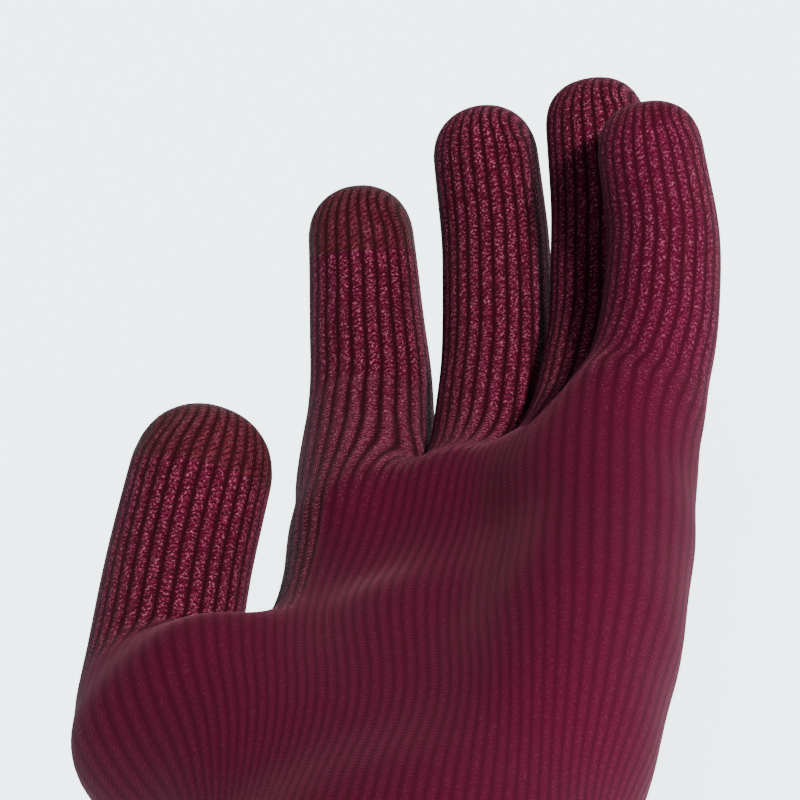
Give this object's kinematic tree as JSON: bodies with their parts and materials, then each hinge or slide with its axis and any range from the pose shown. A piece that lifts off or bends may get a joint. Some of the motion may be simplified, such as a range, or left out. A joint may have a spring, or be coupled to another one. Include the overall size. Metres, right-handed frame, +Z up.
{
  "type": "knitted touchscreen glove",
  "caption": "Knitted left-hand glove worn part curled, with a ribbed cuff, closed finger tubes that bend at the knuckles and darker conductive tips.",
  "frame": {"origin": "middle of the underside of the hem, where the glove rests on the table", "axes": "+Y from the cuff to the fingertips, +X to the little finger's side, +Z up out of the palm"},
  "size_m": [0.1229, 0.2345, 0.0665],
  "materials": {
    "knit": "burgundy rib knit",
    "rib_knit": "burgundy tight rib knit",
    "conductive_knit": "darker knit with conductive thread, slight sheen",
    "elastic": "covered elastic yarn",
    "label": "blank woven tape",
    "thread": "sewing thread"
  },
  "bodies": {
    "cuff": {"cuff_rib": "rib_knit", "cuff_hem": "rib_knit", "cuff_elastic_yarn": "elastic", "care_label": "label", "care_label_stitch": "thread"},
    "hand": {"hand_shell": "knit"},
    "index_base_tube": {"index_base": "knit"},
    "index_middle_tube": {"index_middle": "knit"},
    "index_tip_tube": {"index_tip": "knit", "index_touch_cap": "conductive_knit", "index_tip_seam": "thread"},
    "middle_base_tube": {"middle_base": "knit"},
    "middle_middle_tube": {"middle_middle": "knit"},
    "middle_tip_tube": {"middle_tip": "knit", "middle_tip_seam": "thread"},
    "ring_base_tube": {"ring_base": "knit"},
    "ring_middle_tube": {"ring_middle": "knit"},
    "ring_tip_tube": {"ring_tip": "knit", "ring_tip_seam": "thread"},
    "little_base_tube": {"little_base": "knit"},
    "little_middle_tube": {"little_middle": "knit"},
    "little_tip_tube": {"little_tip": "knit", "little_tip_seam": "thread"},
    "thumb_base_tube": {"thumb_base": "knit"},
    "thumb_tip_tube": {"thumb_tip": "knit", "thumb_touch_cap": "conductive_knit", "thumb_tip_seam": "thread"}
  },
  "joints": [
    {"name": "wrist_bend", "type": "hinge", "parent": "cuff", "child": "hand", "pos_m": [0, 0.064, 0.022], "axis": [1, 0, 0], "range_deg": [-40, 40]},
    {"name": "index_knuckle", "type": "hinge", "parent": "hand", "child": "index_base_tube", "pos_m": [-0.02305, 0.17351, 0.02107], "axis": [0.9976, -0.0698, 0], "range_deg": [-10, 50]},
    {"name": "index_middle_bend", "type": "hinge", "parent": "index_base_tube", "child": "index_middle_tube", "pos_m": [-0.02541, 0.18932, 0.02358], "axis": [0.9976, -0.0698, 0], "range_deg": [-31, 49]},
    {"name": "index_tip_bend", "type": "hinge", "parent": "index_middle_tube", "child": "index_tip_tube", "pos_m": [-0.02383, 0.20522, 0.03619], "axis": [0.9976, -0.0698, 0], "range_deg": [-20, 20]},
    {"name": "middle_knuckle", "type": "hinge", "parent": "hand", "child": "middle_base_tube", "pos_m": [-0.0014, 0.17126, 0.0174], "axis": [0.9903, -0.1392, 0], "range_deg": [-21, 39]},
    {"name": "middle_middle_bend", "type": "hinge", "parent": "middle_base_tube", "child": "middle_middle_tube", "pos_m": [0.00125, 0.18999, 0.0246], "axis": [0.9903, -0.1392, 0], "range_deg": [-16, 64]},
    {"name": "middle_tip_bend", "type": "hinge", "parent": "middle_middle_tube", "child": "middle_tip_tube", "pos_m": [0.00518, 0.20996, 0.0397], "axis": [0.9903, -0.1392, 0], "range_deg": [-18, 22]},
    {"name": "ring_knuckle", "type": "hinge", "parent": "hand", "child": "ring_base_tube", "pos_m": [0.02005, 0.16921, 0.02025], "axis": [0.9848, -0.1736, 0], "range_deg": [-19, 41]},
    {"name": "ring_middle_bend", "type": "hinge", "parent": "ring_base_tube", "child": "ring_middle_tube", "pos_m": [0.02421, 0.18588, 0.02612], "axis": [0.9848, -0.1736, 0], "range_deg": [-22, 58]},
    {"name": "ring_tip_bend", "type": "hinge", "parent": "ring_middle_tube", "child": "ring_tip_tube", "pos_m": [0.02948, 0.20353, 0.04208], "axis": [0.9848, -0.1736, 0], "range_deg": [-12, 28]},
    {"name": "little_knuckle", "type": "hinge", "parent": "hand", "child": "little_base_tube", "pos_m": [0.0335, 0.15287, 0.02861], "axis": [1, 0, 0], "range_deg": [-29, 31]},
    {"name": "little_middle_bend", "type": "hinge", "parent": "little_base_tube", "child": "little_middle_tube", "pos_m": [0.03901, 0.16254, 0.03469], "axis": [1, 0, 0], "range_deg": [-14, 66]},
    {"name": "little_tip_bend", "type": "hinge", "parent": "little_middle_tube", "child": "little_tip_tube", "pos_m": [0.04494, 0.17492, 0.04722], "axis": [1, 0, 0], "range_deg": [-17, 23]},
    {"name": "thumb_knuckle", "type": "hinge", "parent": "hand", "child": "thumb_base_tube", "pos_m": [-0.05101, 0.1056, 0.02842], "axis": [-0.7061, -0.1373, 0.6947], "range_deg": [-20, 38]},
    {"name": "thumb_tip_bend", "type": "hinge", "parent": "thumb_base_tube", "child": "thumb_tip_tube", "pos_m": [-0.04579, 0.12728, 0.03801], "axis": [-0.7061, -0.1373, 0.6947], "range_deg": [-35, 24]}
  ]
}
